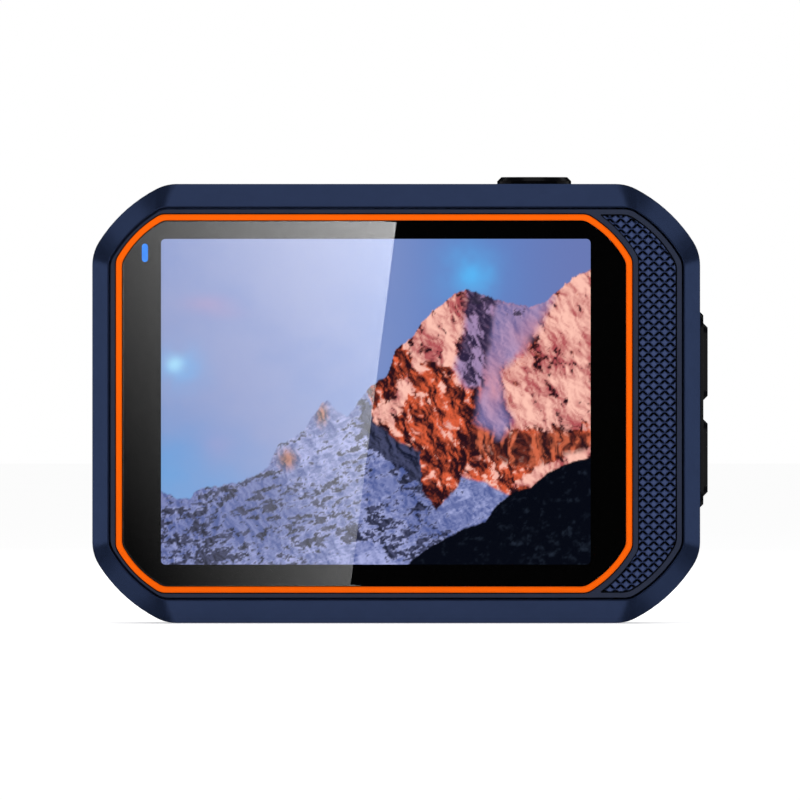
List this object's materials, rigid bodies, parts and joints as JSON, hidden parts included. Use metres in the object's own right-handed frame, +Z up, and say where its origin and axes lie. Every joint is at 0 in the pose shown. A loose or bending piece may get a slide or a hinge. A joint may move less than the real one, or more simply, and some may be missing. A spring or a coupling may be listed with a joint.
{
  "type": "action camera",
  "caption": "Pocket action camera: cut-corner casing with rear touch screen in a trim ring, knurled thumb grip, shutter button, side keys, hinged battery and port doors, twist-off lens cover.",
  "frame": {"origin": "under the middle of the whole camera, on the plane it stands on", "axes": "+X to the right when looking at the screen, +Y out through the lens, +Z up through the shutter button"},
  "size_m": [0.0588, 0.0294, 0.0426],
  "materials": {
    "navy_shell": "fine satin moulding",
    "navy_panel": "fine satin moulding",
    "grip_rubber": "knurled, matte",
    "orange_trim": "satin anodised",
    "black_glass": "polished, black printed border",
    "display": "liquid crystal display",
    "lens_glass": "coated",
    "black_metal": "black anodised",
    "black_gloss": "polished",
    "black_matte": "matte",
    "seal_rubber": "matte",
    "steel": "satin",
    "plate_aluminium": "plain",
    "brass": "machined",
    "board_green": "solder mask",
    "flex_amber": "polyimide film",
    "battery_wrap": "moulded pack",
    "tab_orange": "woven tab",
    "light_pipe": "clear blue light guide",
    "backlight_white": "white light guide"
  },
  "bodies": {
    "camera": {"main_casing": "navy_shell", "rear_panel": "navy_panel", "front_cover": "navy_panel", "grip_panel": "grip_rubber", "screen_trim": "orange_trim", "lens_accent_ring": "orange_trim", "screen_glass": "black_glass", "front_glass": "black_glass", "lcd_cell": "display", "front_lcd": "display", "lens_element_1": "lens_glass", "lens_element_2": "lens_glass", "lens_element_3": "lens_glass", "lens_element_4": "lens_glass", "ir_filter": "lens_glass", "lens_barrel": "black_metal", "lens_retaining_ring": "black_metal", "lens_housing": "black_metal", "key_plate": "black_gloss", "lens_holder": "black_matte", "battery_bay": "black_matte", "speaker": "black_matte", "processor": "black_matte", "image_sensor": "black_matte", "tact_switches": "black_matte", "case_screws": "steel", "board_screws": "steel", "hinge_pins": "steel", "lcd_tray": "steel", "usb_c_socket": "steel", "micro_hdmi_socket": "steel", "microsd_socket": "steel", "shield_can": "steel", "eject_spring": "steel", "microphone": "steel", "chassis_plate": "plate_aluminium", "tripod_insert": "brass", "battery_contacts": "brass", "main_board": "board_green", "sensor_board": "board_green", "side_key_board": "board_green", "sensor_flex": "flex_amber", "shutter_flex": "flex_amber", "led_pipes": "light_pipe", "lcd_backlight": "backlight_white"},
    "shutter": {"shutter_button": "black_gloss", "shutter_seal": "seal_rubber"},
    "upper_key": {"up_key": "black_gloss"},
    "lower_key": {"down_key": "black_gloss"},
    "bottom_door": {"battery_door": "navy_shell", "battery_door_seal": "seal_rubber"},
    "latch": {"door_latch": "black_matte"},
    "side_door": {"port_door": "navy_shell", "port_door_seal": "seal_rubber"},
    "battery_pack": {"battery": "battery_wrap", "battery_pull_tab": "tab_orange"},
    "memory_card": {"microsd_card": "black_matte"},
    "lens_cover": {"lens_cover_ring": "black_metal", "lens_cover_glass": "lens_glass", "lens_cover_gasket": "seal_rubber"}
  },
  "joints": [
    {"name": "shutter_press", "type": "slide", "parent": "camera", "child": "shutter", "axis": [0, 0, -1], "range_m": [0, 0.0004], "stiffness_N_per_m": 1500},
    {"name": "upper_key_press", "type": "slide", "parent": "camera", "child": "upper_key", "axis": [-1, 0, 0], "range_m": [0, 0.00035], "stiffness_N_per_m": 1500},
    {"name": "lower_key_press", "type": "slide", "parent": "camera", "child": "lower_key", "axis": [-1, 0, 0], "range_m": [0, 0.00035], "stiffness_N_per_m": 1500},
    {"name": "battery_door_hinge", "type": "hinge", "parent": "camera", "child": "bottom_door", "pos_m": [-0.0004, -0.00713, 0.00085], "axis": [-1, 0, 0], "range_deg": [0, 95]},
    {"name": "latch_slide", "type": "slide", "parent": "bottom_door", "child": "latch", "axis": [0, 1, 0], "range_m": [0, 0.0013]},
    {"name": "battery_slide", "type": "slide", "parent": "camera", "child": "battery_pack", "axis": [0, 0, -1], "range_m": [0, 0.0037]},
    {"name": "port_door_hinge", "type": "hinge", "parent": "camera", "child": "side_door", "pos_m": [-0.02855, -0.00222, 0.0208], "axis": [0, 0, -1], "range_deg": [0, 95]},
    {"name": "card_slide", "type": "slide", "parent": "camera", "child": "memory_card", "axis": [-1, 0, 0], "range_m": [-0.0006, 0.0025]},
    {"name": "lens_cover_twist", "type": "hinge", "parent": "camera", "child": "lens_cover", "pos_m": [-0.01639, 0.01243, 0.0266], "axis": [0, 1, 0], "range_deg": [0, 45]}
  ],
  "couplings": [
    {"joint": "battery_door_hinge", "follows": "battery_slide", "rad_per_m": 445}
  ]
}
